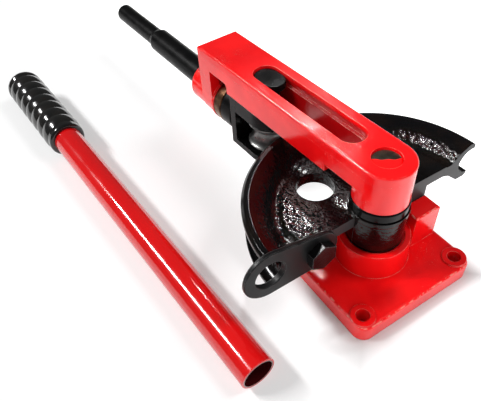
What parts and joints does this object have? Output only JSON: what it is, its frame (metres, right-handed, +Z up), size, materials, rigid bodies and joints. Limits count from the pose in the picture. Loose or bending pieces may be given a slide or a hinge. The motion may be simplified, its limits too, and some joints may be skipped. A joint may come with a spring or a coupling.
{
  "type": "manual tube bender",
  "caption": "Bench-mounted manual tube bender: cast base with pivot pin, half-round grooved die with hook link, swing arm with screw-fed follower roller, and a loose handle with a moulded grip.",
  "frame": {"origin": "on the pivot pin's axis at the underside of the base, centre of the four bolt holes", "axes": "+Z up along the pivot pin, +Y from the pin along the stored arm, +X towards the stop block"},
  "size_m": [0.3118, 0.5213, 0.123],
  "materials": {
    "red_paint": "gloss paint over cast iron and steel tube",
    "black_cast": "gloss black paint over rough casting",
    "black_steel": "satin black oxide on machined steel",
    "charcoal_steel": "satin charcoal plate",
    "bright_steel": "turned and ground",
    "bronze": "turned bronze",
    "black_vinyl": "gloss moulded vinyl"
  },
  "bodies": {
    "base": {"base_casting": "red_paint", "pivot_pin": "bright_steel", "pin_washer": "bright_steel", "pin_screw": "bright_steel"},
    "die": {"die_body": "black_cast", "hook_washer": "black_steel", "hook_bolt": "black_steel", "spacer_ring": "black_steel"},
    "hook": {"hook_link": "charcoal_steel"},
    "arm": {"arm_casting": "red_paint", "screw_nut": "bronze"},
    "yoke": {"yoke_bracket": "black_cast", "roller_axle": "black_steel", "axle_spacer": "bright_steel", "roller_washer": "bright_steel", "axle_washer": "bright_steel", "axle_clip": "bright_steel"},
    "screw": {"pressure_screw": "black_steel", "screw_collar": "black_steel", "collar_pin": "bright_steel", "screw_clip": "bright_steel"},
    "roller": {"follower_roller": "bright_steel", "roller_bush": "bronze"},
    "handle": {"handle_tube": "red_paint", "handle_grip": "black_vinyl"}
  },
  "joints": [
    {"name": "die_turn", "type": "hinge", "parent": "base", "child": "die", "pos_m": [0, 0, 0.06], "axis": [0, 0, 1], "range_deg": [0, 180]},
    {"name": "hook_swing", "type": "hinge", "parent": "die", "child": "hook", "pos_m": [-0.0668, -0.0053, 0.0675], "axis": [0, 1, 0], "range_deg": [-25, 60]},
    {"name": "arm_swing", "type": "hinge", "parent": "base", "child": "arm", "pos_m": [0, 0, 0.1], "axis": [0, 0, 1], "range_deg": [-180, 70]},
    {"name": "yoke_feed", "type": "slide", "parent": "arm", "child": "yoke", "axis": [-0.0523, 0.9986, 0], "range_m": [-0.0075, 0]},
    {"name": "screw_turn", "type": "hinge", "parent": "yoke", "child": "screw", "pos_m": [-0.00984, 0.18774, 0.0627], "axis": [-0.0523, 0.9986, 0], "range_deg": [-900, 0]},
    {"name": "roller_spin", "type": "hinge", "parent": "yoke", "child": "roller", "pos_m": [-0.00748, 0.1428, 0.0636], "axis": [0, 0, 1], "continuous": true},
    {"name": "handle_lift", "type": "slide", "parent": "base", "child": "handle", "axis": [0, 0, 1], "range_m": [0, 0.15]}
  ],
  "couplings": [
    {"joint": "yoke_feed", "follows": "screw_turn", "m_per_rad": 0.0004774}
  ]
}
